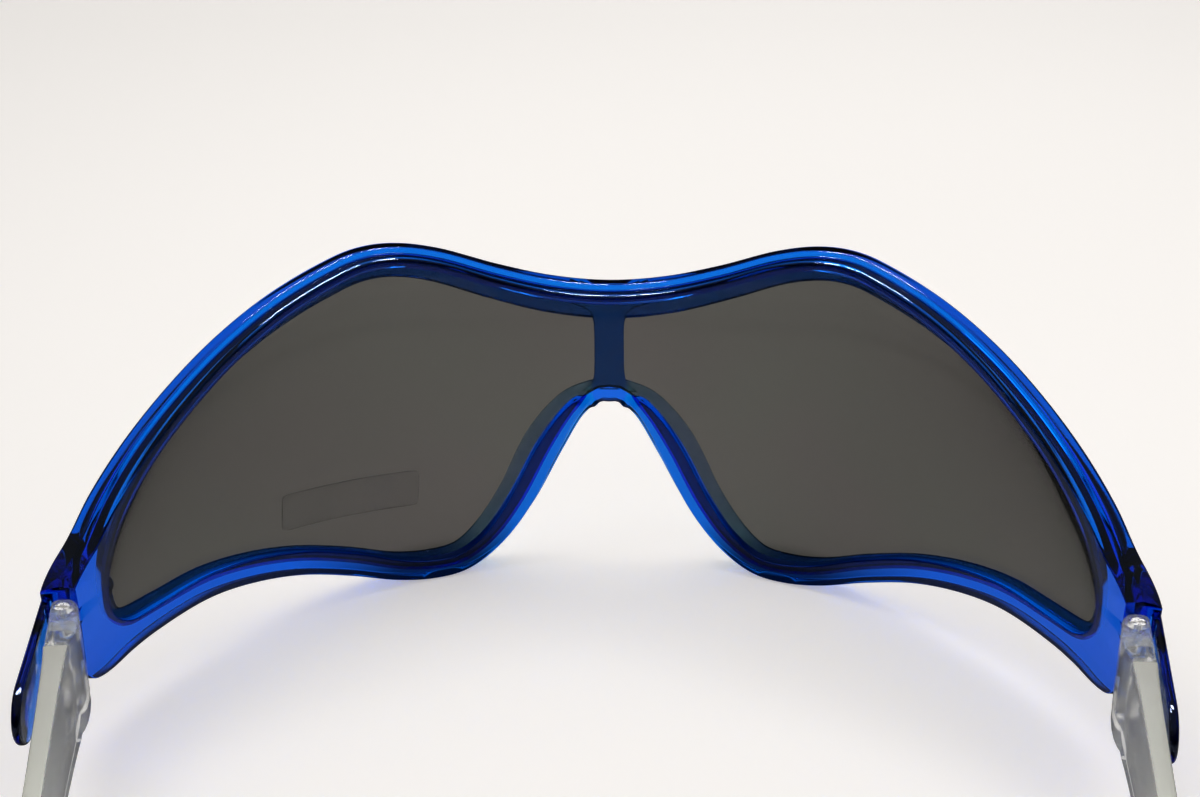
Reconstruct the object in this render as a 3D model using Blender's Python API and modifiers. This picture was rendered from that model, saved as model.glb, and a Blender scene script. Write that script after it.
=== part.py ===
"""Wraparound cycling sunglasses with one shield lens and two folding temples.

The wearer looks along +Y, with +X on the wearer's right and +Z up. The glasses stand
on the two low lobes of the rim and on the two temple tips, at Z = 0. The origin is on
that surface, in the middle of the width and of the depth.
"""

import math
from dataclasses import dataclass

import bmesh
import bpy
from mathutils import Matrix, Vector

MM = 0.001

# Shield lens: a sheet bent round an upright cylinder
LENS_RADIUS = 73.5 * MM
LENS_THICKNESS = 1.6 * MM
LENS_HALF_ARC = 84.0 * MM
LENS_PEAK = 53.2 * MM
LENS_GAP = 0.25 * MM

# Rim section round the lens edge
RIM_WALL = 1.5 * MM
RIM_REAR_LIP = 1.0 * MM
RIM_FRONT_LIP = 4.3 * MM
RIM_FRONT_SKIN = 0.95 * MM
RIM_BEAD_DEPTH = 1.4 * MM
RIM_FLANGE_WIDTH = 0.75 * MM
RIM_FLANGE_REAR = 0.3 * MM
RIM_EDGE = 0.6 * MM
RIM_LIP_EDGE = 0.3 * MM
WEB_HALF_WIDTH = 3.0 * MM
WEB_STEP = 0.25 * MM
WEB_DEPTH = 0.35 * MM
WEB_FLANGE_STEP = 0.15 * MM

# Bar down the middle, in front of the lens
BAR_HALF_WIDTH = 2.15 * MM
BAR_SKIN = 0.7 * MM
BAR_FOOT_LAP = 1.0 * MM
BAR_HEAD_LAP = 1.9 * MM

# Hinge on each side, on an upright axis
EAR_REACH = 6.4 * MM
HINGE_INSET = 1.25 * MM
HINGE_SETBACK = 2.3 * MM
KNUCKLE_RADIUS = 2.0 * MM
TONGUE_RADIUS = 1.7 * MM
TONGUE_RISE = 2.35 * MM
TONGUE_THICKNESS = 1.85 * MM
TONGUE_ROOT = 1.2 * MM
HINGE_GAP = 0.3 * MM

# Hinge screw and its nut
SCREW_RADIUS = 0.6 * MM
SCREW_LENGTH = 10.2 * MM
SCREW_HEAD_RADIUS = 0.95 * MM
SCREW_HEAD_HEIGHT = 0.65 * MM
SCREW_SLOT_WIDTH = 0.35 * MM
SCREW_SLOT_DEPTH = 0.3 * MM
SCREW_GAP = 0.25 * MM
NUT_RADIUS = 1.35 * MM
NUT_THICKNESS = 1.0 * MM
NUT_DROP = 2.6 * MM

# Temple
TEMPLE_LENGTH = 112.0 * MM
TEMPLE_TOE_IN_LEFT = math.radians(7.5)
TEMPLE_TOE_IN_RIGHT = math.radians(3.0)
TEMPLE_RISE = 6.4 * MM
TEMPLE_DROP = 8.2 * MM
TEMPLE_INNER = 2.0 * MM
TEMPLE_OUTER = 1.6 * MM
BLOCK_LENGTH = 9.0 * MM
BLOCK_LAP = 2.3 * MM
TIP_SKIM = 0.25 * MM

# Wing of the frame behind each ear, outside the temple
WING_LENGTH = 20.0 * MM
WING_THICKNESS = 1.3 * MM
WING_TOE_IN = math.radians(3.0)
WING_ROOT = 0.9 * MM
WING_INSET = 0.5 * MM
WING_FOOT = 2.4 * MM
WING_RISE = 3.0 * MM
WING_KNEE = 3.0 * MM
WING_NOSE = 5.0 * MM
WING_BEVEL = 0.4 * MM

# Clear film on the front of the lens
FILM_ARC = -38.9 * MM
FILM_HEIGHT = 15.9 * MM
FILM_LENGTH = 21.2 * MM
FILM_WIDTH = 5.7 * MM
FILM_CORNER = 0.7 * MM
FILM_THICKNESS = 0.2 * MM
FILM_GAP = 0.15 * MM
FILM_TILT = math.radians(-5.4)
FILM_COLUMNS = 8

# How far a cutter runs past what it cuts
OVERRUN = 2.0 * MM

# Down one half of the lens edge, from the top centre round the end to the nose arch:
# arc and height of the edge as shares of LENS_HALF_ARC and LENS_PEAK, then the wall there
# as the sum of a share of RIM_WALL and one of EAR_WALL, and the rear lip and front lip as
# shares of RIM_REAR_LIP and RIM_FRONT_LIP
RIM_SHARES = (
    (0.000, 0.833, 1.00, 0.00, 0.50, 1.00),
    (0.096, 0.850, 1.00, 0.00, 0.50, 0.96),
    (0.190, 0.896, 1.00, 0.00, 0.50, 0.86),
    (0.286, 0.961, 1.00, 0.00, 0.55, 0.80),
    (0.357, 0.994, 1.00, 0.00, 0.60, 0.80),
    (0.417, 0.999, 1.00, 0.00, 0.65, 0.82),
    (0.476, 0.979, 1.00, 0.00, 0.70, 0.84),
    (0.571, 0.930, 1.02, 0.00, 0.80, 0.84),
    (0.667, 0.864, 1.05, 0.00, 0.90, 0.82),
    (0.761, 0.787, 1.08, 0.00, 1.00, 0.80),
    (0.860, 0.697, 1.15, 0.00, 1.10, 0.75),
    (0.934, 0.612, 1.35, 0.02, 1.20, 0.65),
    (0.980, 0.530, 1.40, 0.17, 1.20, 0.50),
    (1.000, 0.450, 0.00, 1.01, 1.20, 0.75),
    (1.000, 0.365, 0.00, 1.06, 1.20, 1.00),
    (0.982, 0.300, 0.00, 1.02, 1.20, 0.90),
    (0.940, 0.262, 1.50, 0.17, 1.25, 0.50),
    (0.860, 0.249, 1.10, 0.00, 1.40, 0.40),
    (0.761, 0.244, 1.05, 0.00, 1.60, 0.44),
    (0.667, 0.216, 1.05, 0.00, 1.80, 0.47),
    (0.571, 0.172, 1.05, 0.00, 1.90, 0.49),
    (0.476, 0.112, 1.05, 0.00, 1.90, 0.49),
    (0.392, 0.052, 1.05, 0.00, 1.90, 0.50),
    (0.322, 0.026, 1.05, 0.00, 1.95, 0.54),
    (0.262, 0.035, 1.05, 0.00, 2.10, 0.65),
    (0.205, 0.100, 1.05, 0.00, 2.30, 0.82),
    (0.154, 0.213, 1.05, 0.00, 2.45, 0.98),
    (0.104, 0.370, 1.05, 0.00, 2.40, 1.05),
    (0.062, 0.482, 1.05, 0.00, 1.80, 0.78),
    (0.029, 0.536, 1.00, 0.00, 1.10, 0.38),
    (0.000, 0.549, 1.00, 0.00, 0.80, 0.25),
)
EAR_LEVEL_SHARE = 0.365
RIM_STEPS = 3

# Up the centre bar, from foot to head: share of its height, half width as a share of BAR_HALF_WIDTH
BAR_SHARES = (
    (0.00, 1.90),
    (0.08, 1.30),
    (0.20, 1.05),
    (0.45, 1.00),
    (0.70, 1.00),
    (0.82, 1.10),
    (0.91, 1.50),
    (1.00, 2.90),
)
BAR_STEPS = 2
BAR_COLUMN_SHARES = (-1.0, -0.5, 0.0, 0.5, 1.0)

# Down one temple from inside its block to its tip: share of the way, bottom and top as
# shares of TEMPLE_HEIGHT, inner and outer faces as shares of TEMPLE_INNER
TEMPLE_SHARES = (
    (0.000, 0.450, 0.984, -0.98, 0.75),
    (0.170, 0.490, 0.965, -0.85, 0.70),
    (0.362, 0.545, 0.935, -0.76, 0.60),
    (0.574, 0.600, 0.895, -0.72, 0.58),
    (0.702, 0.585, 0.850, -0.74, 0.56),
    (0.809, 0.470, 0.730, -0.86, 0.50),
    (0.894, 0.265, 0.530, -1.05, 0.40),
    (0.963, 0.055, 0.320, -1.25, 0.30),
    (0.989, 0.000, 0.220, -1.25, 0.20),
    (1.000, 0.050, 0.150, -1.05, 0.00),
)
TEMPLE_STEPS = 3
SECTION_CORNER_SHARE = 0.28

# Facets of round things, and the angles at which edges stay sharp or are bevelled
ROUND_SIDES = 24
NOSE_SIDES = 8
NUT_SIDES = 6
SHARP_ANGLE = math.radians(30.0)
BEVEL_ANGLE = math.radians(60.0)

# What the sizes above give
SLOT_HALF = LENS_THICKNESS / 2 + LENS_GAP
RIM_FRONT = SLOT_HALF + RIM_FRONT_SKIN
RIM_REAR = SLOT_HALF + RIM_BEAD_DEPTH
WEB_REAR = SLOT_HALF + WEB_DEPTH
BAR_FOOT = LENS_PEAK * RIM_SHARES[-1][1] - BAR_FOOT_LAP
BAR_HEAD = LENS_PEAK * RIM_SHARES[0][1] - BAR_HEAD_LAP
EAR_END_BACK = LENS_RADIUS * (1 - math.cos(LENS_HALF_ARC / LENS_RADIUS)) + EAR_REACH
EAR_LEVEL = LENS_PEAK * EAR_LEVEL_SHARE
EAR_TURN = math.acos((LENS_RADIUS - EAR_END_BACK) / (LENS_RADIUS + RIM_FRONT))
EAR_WALL = LENS_RADIUS * EAR_TURN - LENS_HALF_ARC + RIM_EDGE
HINGE_X = math.sqrt(LENS_RADIUS**2 - (LENS_RADIUS - EAR_END_BACK) ** 2) - HINGE_INSET
HINGE_BACK = EAR_END_BACK + HINGE_SETBACK
TONGUE_BASE = EAR_LEVEL + TONGUE_RISE
TONGUE_TOP = TONGUE_BASE + TONGUE_THICKNESS
NUT_BASE = EAR_LEVEL - NUT_DROP
TEMPLE_HEIGHT = EAR_LEVEL + TEMPLE_RISE
TEMPLE_FOOT = EAR_LEVEL - TEMPLE_DROP
WING_INNER = TEMPLE_OUTER + HINGE_GAP
SOCKET_RADIUS = KNUCKLE_RADIUS + HINGE_GAP
BORE_RADIUS = SCREW_RADIUS + SCREW_GAP
SEAT_BASE = TEMPLE_HEIGHT - SCREW_HEAD_HEIGHT - HINGE_GAP * 2


@dataclass(frozen=True)
class Bench:
    """Where new objects go: a collection, a parent, and the side of the glasses they are for."""

    group: bpy.types.Collection
    holder: bpy.types.Object
    sign: int = 1


def material(name, colour, roughness, metallic=0.0, transmission=0.0):
    """A Principled material of one colour."""
    made = bpy.data.materials.new(name)
    made.use_nodes = True
    shader = made.node_tree.nodes["Principled BSDF"]
    shader.inputs["Base Color"].default_value = (*colour, 1.0)
    shader.inputs["Roughness"].default_value = roughness
    shader.inputs["Metallic"].default_value = metallic
    shader.inputs["Transmission Weight"].default_value = transmission
    made.diffuse_color = (*colour, 1.0)
    return made


def collection(name):
    """A collection linked to the scene."""
    made = bpy.data.collections.new(name)
    bpy.context.scene.collection.children.link(made)
    return made


def empty(name, group, holder, place=(0.0, 0.0, 0.0), turn=0.0):
    """An empty that other objects hang from, turned about the upright axis."""
    made = bpy.data.objects.new(name, None)
    group.objects.link(made)
    made.parent = holder
    made.location = place
    made.rotation_euler.z = turn
    return made


def mesh_object(name, bm, bench):
    """An object of a bmesh drawn for the right-hand side, mirrored for the left-hand one."""
    bmesh.ops.scale(bm, vec=(bench.sign, 1.0, 1.0), verts=bm.verts)
    bmesh.ops.recalc_face_normals(bm, faces=bm.faces)
    mesh = bpy.data.meshes.new(name)
    bm.to_mesh(mesh)
    bm.free()
    made = bpy.data.objects.new(name, mesh)
    made.parent = bench.holder
    bench.group.objects.link(made)
    return made


def box(name, low, high, bench):
    """A box between two corners."""
    low, high = Vector(low), Vector(high)
    place = Matrix.Translation((low + high) / 2) @ Matrix.Diagonal((*(high - low), 1.0))
    bm = bmesh.new()
    bmesh.ops.create_cube(bm, size=1.0, matrix=place)
    return mesh_object(name, bm, bench)


def cylinder(name, radius, base, top, bench, place=(0.0, 0.0), sides=ROUND_SIDES):
    """An upright cylinder from base to top at a place in plan."""
    bm = bmesh.new()
    middle = Matrix.Translation((*place, (base + top) / 2))
    bmesh.ops.create_cone(
        bm, cap_ends=True, segments=sides, radius1=radius, radius2=radius, depth=top - base, matrix=middle
    )
    return mesh_object(name, bm, bench)


def loft(name, sections, bench, closed=False):
    """A solid through rings of points with one count, capped at its ends unless closed."""
    bm = bmesh.new()
    rings = [[bm.verts.new(point) for point in ring] for ring in sections]
    count = len(rings[0])
    for index in range(len(rings) if closed else len(rings) - 1):
        ring, after = rings[index], rings[(index + 1) % len(rings)]
        for k in range(count):
            bm.faces.new((ring[k], ring[(k + 1) % count], after[(k + 1) % count], after[k]))
    if not closed:
        bm.faces.new(rings[0])
        bm.faces.new(rings[-1])
    return mesh_object(name, bm, bench)


def boolean(target, tool, operation):
    """Joins a cutter or a filler to an object with an exact Boolean modifier."""
    modifier = target.modifiers.new(tool.name, "BOOLEAN")
    modifier.object = tool
    modifier.operation = operation
    modifier.solver = "EXACT"
    tool.hide_render = True
    tool.display_type = "WIRE"


def blend(a, b, c, d, t):
    """The value at t between b and c of the smooth curve through four evenly spaced values."""
    leave, arrive = (c - a) / 2, (d - b) / 2
    rise = t * t * (3 - 2 * t)
    return b + (c - b) * rise + leave * t * (1 - t) ** 2 - arrive * t * t * (1 - t)


def smooth_rows(rows, steps):
    """Rows of numbers on a smooth curve through the given rows."""
    made = []
    last = len(rows) - 1
    for index in range(last):
        around = rows[max(index - 1, 0)], rows[index], rows[index + 1], rows[min(index + 2, last)]
        for step in range(steps):
            made.append(tuple(blend(*values, step / steps) for values in zip(*around)))
    made.append(rows[-1])
    return made


def on_lens(arc, height, ahead=0.0):
    """The point at an arc length and height on the lens cylinder, or ahead of it."""
    angle = arc / LENS_RADIUS
    reach = LENS_RADIUS + ahead
    return Vector((reach * math.sin(angle), reach * math.cos(angle) - LENS_RADIUS, height))


def rim_rows():
    """Stations round the right half of the lens edge: arc, height, wall, rear lip, front lip."""
    before = (-RIM_SHARES[1][0], *RIM_SHARES[1][1:])
    beyond = (-RIM_SHARES[-2][0], *RIM_SHARES[-2][1:])
    sized = []
    for arc, height, wall, ear, rear_lip, front_lip in (before, *RIM_SHARES, beyond):
        edge = (arc * LENS_HALF_ARC, height * LENS_PEAK, wall * RIM_WALL + ear * EAR_WALL)
        sized.append((*edge, rear_lip * RIM_REAR_LIP, front_lip * RIM_FRONT_LIP))
    return smooth_rows(sized, RIM_STEPS)[RIM_STEPS:-RIM_STEPS]


def end_station(rows):
    """The number of the station farthest round the lens."""
    return max(range(len(rows)), key=lambda k: rows[k][0])


def web_rows(rows):
    """The stations, with a pair added where the flat web at the nose arch begins."""
    turn = end_station(rows)
    made = list(rows[: turn + 1])
    for row, after in zip(rows[turn:], rows[turn + 1 :]):
        for arc in (WEB_HALF_WIDTH + WEB_STEP, WEB_HALF_WIDTH):
            if after[0] < arc < row[0]:
                t = (row[0] - arc) / (row[0] - after[0])
                made.append(tuple(p + t * (q - p) for p, q in zip(row, after)))
        made.append(after)
    return made


def rim_section(wall, rear_lip, front_lip, flange, rear):
    """The rim's stepped section: offsets outward from the lens edge and ahead of the lens."""
    bead = wall - RIM_FLANGE_WIDTH
    return (
        (-front_lip, SLOT_HALF),
        (-front_lip, RIM_FRONT - RIM_LIP_EDGE),
        (-front_lip + RIM_LIP_EDGE, RIM_FRONT),
        (wall - RIM_EDGE, RIM_FRONT),
        (wall, RIM_FRONT - RIM_EDGE),
        (wall, -flange),
        (bead, -flange),
        (bead, RIM_LIP_EDGE - rear),
        (bead - RIM_LIP_EDGE, -rear),
        (RIM_LIP_EDGE - rear_lip, -rear),
        (-rear_lip, RIM_LIP_EDGE - rear),
        (-rear_lip, -SLOT_HALF),
        (LENS_GAP, -SLOT_HALF),
        (LENS_GAP, SLOT_HALF),
    )


def rim_loft(bench):
    """The rim with its lens groove, front lip, rear bead and hinge ears."""
    half = web_rows(rim_rows())
    path = half + [(-row[0], *row[1:]) for row in reversed(half[1:-1])]
    middle = (half[0][1] + half[-1][1]) / 2
    sections = []
    for index, (arc, height, wall, rear_lip, front_lip) in enumerate(path):
        before, after = path[index - 1], path[(index + 1) % len(path)]
        along = Vector((after[0] - before[0], after[1] - before[1])).normalized()
        out = Vector((-along.y, along.x))
        web = height < middle and abs(arc) < WEB_HALF_WIDTH + WEB_STEP / 2
        flange, rear = (WEB_REAR - WEB_FLANGE_STEP, WEB_REAR) if web else (RIM_FLANGE_REAR, RIM_REAR)
        section = rim_section(wall, rear_lip, front_lip, flange, rear)
        sections.append([on_lens(arc + b * out.x, height + b * out.y, n) for b, n in section])
    return loft("frame_front", sections, bench, closed=True)


def centre_bar(bench):
    """The bar that joins the top of the rim to the nose arch, in front of the lens."""
    near = SLOT_HALF + LENS_GAP / 2
    far = near + BAR_SKIN
    sections = []
    for height_share, width_share in smooth_rows(BAR_SHARES, BAR_STEPS):
        height = BAR_FOOT + height_share * (BAR_HEAD - BAR_FOOT)
        arcs = [share * width_share * BAR_HALF_WIDTH for share in BAR_COLUMN_SHARES]
        ring = [on_lens(arc, height, near) for arc in arcs]
        ring += [on_lens(arc, height, far) for arc in reversed(arcs)]
        sections.append(ring)
    return loft("bar_filler", sections, bench)


def wing_points():
    """The wing's side outline, distance behind the hinge axis and height."""
    front = -HINGE_SETBACK - WING_ROOT
    low, high = TEMPLE_FOOT + WING_FOOT, TEMPLE_HEIGHT - WING_INSET
    rear_low, rear_high = low + WING_RISE, high - WING_INSET
    middle, half = (rear_low + rear_high) / 2, (rear_high - rear_low) / 2
    points = [(front, low), (WING_KNEE, low)]
    for index in range(NOSE_SIDES + 1):
        angle = math.pi * (index / NOSE_SIDES - 1 / 2)
        back = WING_LENGTH - WING_NOSE * (1 - math.cos(angle))
        points.append((back, middle + half * math.sin(angle)))
    points.append((front, high))
    return points


def wing(side, bench):
    """The wing that carries the frame's outer face back past the hinge."""
    cosine, sine = math.cos(WING_TOE_IN), math.sin(WING_TOE_IN)
    rings = []
    for x in (WING_INNER, WING_INNER + WING_THICKNESS):
        turned = [(x * cosine - back * sine, -x * sine - back * cosine, z) for back, z in wing_points()]
        rings.append([(HINGE_X + across, along - HINGE_BACK, z) for across, along, z in turned])
    made = loft(f"wing_{side}", rings, bench)
    bevel = made.modifiers.new("edge", "BEVEL")
    bevel.width = WING_BEVEL
    bevel.segments = 1
    bevel.limit_method = "ANGLE"
    bevel.angle_limit = BEVEL_ANGLE
    return made


def frame_front(parts, tools):
    """The one-piece frame: rim, bar, hinge ears, wings and tongues."""
    frame = rim_loft(parts)
    boolean(frame, centre_bar(tools), "UNION")
    reach = LENS_HALF_ARC + OVERRUN
    behind = -HINGE_BACK - LENS_HALF_ARC
    tall = LENS_PEAK + RIM_WALL + OVERRUN
    ears = box("ear_cut", (-reach, behind, -OVERRUN), (reach, -EAR_END_BACK, tall), tools)
    feet = box("foot_cut", (-reach, behind, -LENS_PEAK), (reach, LENS_RADIUS, 0.0), tools)
    boolean(frame, ears, "DIFFERENCE")
    boolean(frame, feet, "DIFFERENCE")
    for side, sign in (("left", -1), ("right", 1)):
        axis = (sign * HINGE_X, -HINGE_BACK)
        low = (axis[0] - TONGUE_RADIUS, axis[1], TONGUE_BASE)
        high = (axis[0] + TONGUE_RADIUS, -EAR_END_BACK + TONGUE_ROOT, TONGUE_TOP)
        disc = cylinder(f"tongue_{side}", TONGUE_RADIUS, TONGUE_BASE, TONGUE_TOP, tools, axis)
        foot, head = TONGUE_BASE - OVERRUN, TONGUE_TOP + OVERRUN
        bore = cylinder(f"tongue_bore_{side}", BORE_RADIUS, foot, head, tools, axis)
        socket = cylinder(f"socket_{side}", SOCKET_RADIUS, 0.0, tall, tools, axis)
        boolean(frame, wing(side, Bench(tools.group, tools.holder, sign)), "UNION")
        boolean(frame, socket, "DIFFERENCE")
        boolean(disc, box(f"stem_{side}", low, high, tools), "UNION")
        boolean(frame, disc, "UNION")
        boolean(frame, bore, "DIFFERENCE")
    return frame


def edge_height(rows, arc):
    """The height of a run of edge points, in order of arc, at an arc length."""
    for p, q in zip(rows, rows[1:]):
        if p[0] <= arc < q[0]:
            return p[1] + (q[1] - p[1]) * (arc - p[0]) / (q[0] - p[0])
    return rows[-1][1]


def shield_lens(parts):
    """The lens: one bent sheet that fills the rim's groove."""
    rows = [(min(row[0], LENS_HALF_ARC), row[1]) for row in rim_rows()]
    turn = end_station(rows)
    top, bottom = rows[: turn + 1], rows[: turn - 1 : -1]
    columns = []
    for arc in sorted({row[0] for row in rows}):
        low, high = edge_height(bottom, arc), edge_height(top, arc)
        if high - low > LENS_GAP:
            columns.append((arc, low, high))
    columns = [(-arc, low, high) for arc, low, high in reversed(columns[1:])] + columns
    near, far = -LENS_THICKNESS / 2, LENS_THICKNESS / 2
    sections = [
        [on_lens(arc, low, near), on_lens(arc, high, near), on_lens(arc, high, far), on_lens(arc, low, far)]
        for arc, low, high in columns
    ]
    return loft("shield_lens", sections, parts)


def lens_film(parts):
    """The plain clear film stuck on the front of the lens, with its corners cut."""
    near = LENS_THICKNESS / 2 + FILM_GAP
    far = near + FILM_THICKNESS
    half_length, half_width = FILM_LENGTH / 2, FILM_WIDTH / 2
    inner = half_length - FILM_CORNER
    columns = [(-half_length, half_width - FILM_CORNER)]
    columns += [(inner * (2 * k / FILM_COLUMNS - 1), half_width) for k in range(FILM_COLUMNS + 1)]
    columns.append((half_length, half_width - FILM_CORNER))
    cosine, sine = math.cos(FILM_TILT), math.sin(FILM_TILT)
    sections = []
    for along, reach in columns:
        ring = []
        for rise, ahead in ((-reach, near), (reach, near), (reach, far), (-reach, far)):
            arc = FILM_ARC + along * cosine - rise * sine
            ring.append(on_lens(arc, FILM_HEIGHT + along * sine + rise * cosine, ahead))
        sections.append(ring)
    return loft("lens_film", sections, parts)


def rounded_section(low, high, inner, outer, back):
    """A ring of points round a rounded rectangle across the temple."""
    corner = SECTION_CORNER_SHARE * (outer - inner)
    nick = corner * (1 - math.sqrt(0.5))
    flat = (
        (inner + corner, low),
        (outer - corner, low),
        (outer - nick, low + nick),
        (outer, low + corner),
        (outer, high - corner),
        (outer - nick, high - nick),
        (outer - corner, high),
        (inner + corner, high),
        (inner + nick, high - nick),
        (inner, high - corner),
        (inner, low + corner),
        (inner + nick, low + nick),
    )
    return [Vector((x, -back, z)) for x, z in flat]


def arm(side, bench):
    """The arm behind the hinge block, tapering to the dropped ear tip."""
    start = BLOCK_LENGTH - BLOCK_LAP
    scale = (TEMPLE_LENGTH - start, TEMPLE_HEIGHT, TEMPLE_HEIGHT, TEMPLE_INNER, TEMPLE_INNER)
    rows = [tuple(share * unit for share, unit in zip(row, scale)) for row in TEMPLE_SHARES]
    sections = [
        rounded_section(low - TIP_SKIM, high, inner, outer, start + back)
        for back, low, high, inner, outer in smooth_rows(rows, TEMPLE_STEPS)
    ]
    return loft(f"arm_{side}", sections, bench)


def hinge_block(name, bench):
    """The block at the temple's front, rounded about the hinge axis."""
    start = math.acos(TEMPLE_OUTER / KNUCKLE_RADIUS)
    points = [(TEMPLE_OUTER, -BLOCK_LENGTH)]
    for index in range(ROUND_SIDES // 2 + 1):
        angle = start + (math.pi - start) * index / (ROUND_SIDES // 2)
        points.append((KNUCKLE_RADIUS * math.cos(angle), KNUCKLE_RADIUS * math.sin(angle)))
    points.append((-KNUCKLE_RADIUS, -BLOCK_LENGTH))
    return loft(name, [[(x, y, z) for x, y in points] for z in (TEMPLE_FOOT, TEMPLE_HEIGHT)], bench)


def temple(side, parts, tools):
    """One temple, with its hinge axis through the origin."""
    made = hinge_block(f"temple_{side}", parts)
    boolean(made, arm(side, tools), "UNION")
    inward, outward = -KNUCKLE_RADIUS - OVERRUN, TEMPLE_OUTER + OVERRUN
    reach = TEMPLE_LENGTH + OVERRUN
    above = TEMPLE_HEIGHT + OVERRUN
    slot = box(
        f"tongue_slot_{side}",
        (inward, -TONGUE_RADIUS - HINGE_GAP, TONGUE_BASE - HINGE_GAP),
        (outward, KNUCKLE_RADIUS + OVERRUN, TONGUE_TOP + HINGE_GAP),
        tools,
    )
    pocket = box(
        f"nut_pocket_{side}",
        (inward, -NUT_RADIUS - SCREW_GAP, NUT_BASE - HINGE_GAP),
        (NUT_RADIUS, NUT_RADIUS + SCREW_GAP, NUT_BASE + NUT_THICKNESS + HINGE_GAP),
        tools,
    )
    cutters = (
        slot,
        cylinder(f"screw_bore_{side}", BORE_RADIUS, SEAT_BASE - SCREW_LENGTH, above, tools),
        cylinder(f"screw_seat_{side}", SCREW_HEAD_RADIUS + SCREW_GAP, SEAT_BASE, above, tools),
        pocket,
        box(f"tip_cut_{side}", (-reach, -reach, -LENS_PEAK), (reach, reach, 0.0), tools),
    )
    for tool in cutters:
        boolean(made, tool, "DIFFERENCE")
    return made


def hinge_screw(side, parts, tools):
    """The hinge screw, with its head sunk in the temple's top."""
    head_top = TEMPLE_HEIGHT - HINGE_GAP
    head_base = head_top - SCREW_HEAD_HEIGHT
    reach = SCREW_HEAD_RADIUS + OVERRUN
    tip, neck = head_base - SCREW_LENGTH, head_top - SCREW_SLOT_DEPTH
    made = cylinder(f"hinge_screw_{side}", SCREW_RADIUS, tip, (head_base + neck) / 2, parts)
    head = cylinder(f"screw_head_{side}", SCREW_HEAD_RADIUS, head_base, head_top, tools)
    slot = box(
        f"screw_slot_{side}",
        (-reach, -SCREW_SLOT_WIDTH / 2, neck),
        (reach, SCREW_SLOT_WIDTH / 2, head_top + OVERRUN),
        tools,
    )
    boolean(made, head, "UNION")
    boolean(made, slot, "DIFFERENCE")
    return made


def hinge_nut(side, parts, tools):
    """The hexagonal nut in the temple's pocket."""
    top = NUT_BASE + NUT_THICKNESS
    made = cylinder(f"hinge_nut_{side}", NUT_RADIUS, NUT_BASE, top, parts, sides=NUT_SIDES)
    bore = cylinder(f"nut_bore_{side}", BORE_RADIUS, NUT_BASE - OVERRUN, top + OVERRUN, tools)
    boolean(made, bore, "DIFFERENCE")
    return made


def dress(made, finish):
    """Gives an object its material, with round faces smooth and edges sharp."""
    made.data.materials.clear()
    made.data.materials.append(finish)
    made.data.shade_smooth()
    made.data.set_sharp_from_angle(angle=SHARP_ANGLE)


def depth_ends(pieces):
    """The least and the greatest Y of all pieces as evaluated."""
    graph = bpy.context.evaluated_depsgraph_get()
    reach = []
    for piece in pieces:
        shown = piece.evaluated_get(graph)
        reach += [(shown.matrix_world @ Vector(corner)).y for corner in shown.bound_box]
    return min(reach), max(reach)


def build():
    """Builds the sunglasses."""
    for old in list(bpy.data.objects):
        bpy.data.objects.remove(old, do_unlink=True)
    parts, tools = collection("cycling_sunglasses"), collection("cutters")
    blue = material("blue_clear_plastic", (0.004, 0.095, 0.53), 0.08, transmission=0.6)
    smoke = material("smoke_lens", (0.09, 0.09, 0.08), 0.04, transmission=0.7)
    clear = material("clear_plastic", (0.86, 0.87, 0.86), 0.1, transmission=0.8)
    film = material("clear_film", (0.8, 0.8, 0.8), 0.2, transmission=0.9)
    steel = material("screw_steel", (0.6, 0.6, 0.6), 0.3, metallic=1.0)

    glasses = empty("sunglasses", parts, None)
    bench, shop = Bench(parts, glasses), Bench(tools, glasses)
    dressed = [(frame_front(bench, shop), blue), (shield_lens(bench), smoke), (lens_film(bench), film)]
    for side, sign, toe_in in (("left", -1, TEMPLE_TOE_IN_LEFT), ("right", 1, TEMPLE_TOE_IN_RIGHT)):
        hinge = empty(f"hinge_{side}", parts, glasses, (sign * HINGE_X, -HINGE_BACK, 0.0))
        pivot = empty(f"arm_pivot_{side}", parts, hinge, turn=-sign * toe_in)
        bench, shop = Bench(parts, pivot, sign), Bench(tools, pivot, sign)
        dressed += [
            (temple(side, bench, shop), clear),
            (hinge_nut(side, bench, shop), steel),
            (hinge_screw(side, Bench(parts, hinge, sign), Bench(tools, hinge, sign)), steel),
        ]
    for made, finish in dressed:
        dress(made, finish)
    bpy.context.view_layer.update()
    rear, ahead = depth_ends([made for made, finish in dressed])
    glasses.location.y = -(rear + ahead) / 2
    bpy.context.view_layer.update()
    print("hinge axes at X", round(HINGE_X, 6), "Y", round(glasses.location.y - HINGE_BACK, 6))
    print("lens apex at Y", round(glasses.location.y, 6))


build()
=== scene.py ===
"""Visual model of wraparound cycling sunglasses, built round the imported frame.

The wearer looks along +Y, with +X on the wearer's right and +Z up, in metres. The rim, the
lens and the film are drawn flat, as arc along the lens, distance ahead of it and height,
and a Geometry Nodes tree then bends them round the lens's upright cylinder.
"""

import logging
import math
from collections.abc import Iterable, Sequence
from dataclasses import dataclass
from enum import Enum

import bmesh
import bpy
from bpy.types import Material, Node, NodeSocket, NodeTree, Object
from mathutils import Matrix, Vector


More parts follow.
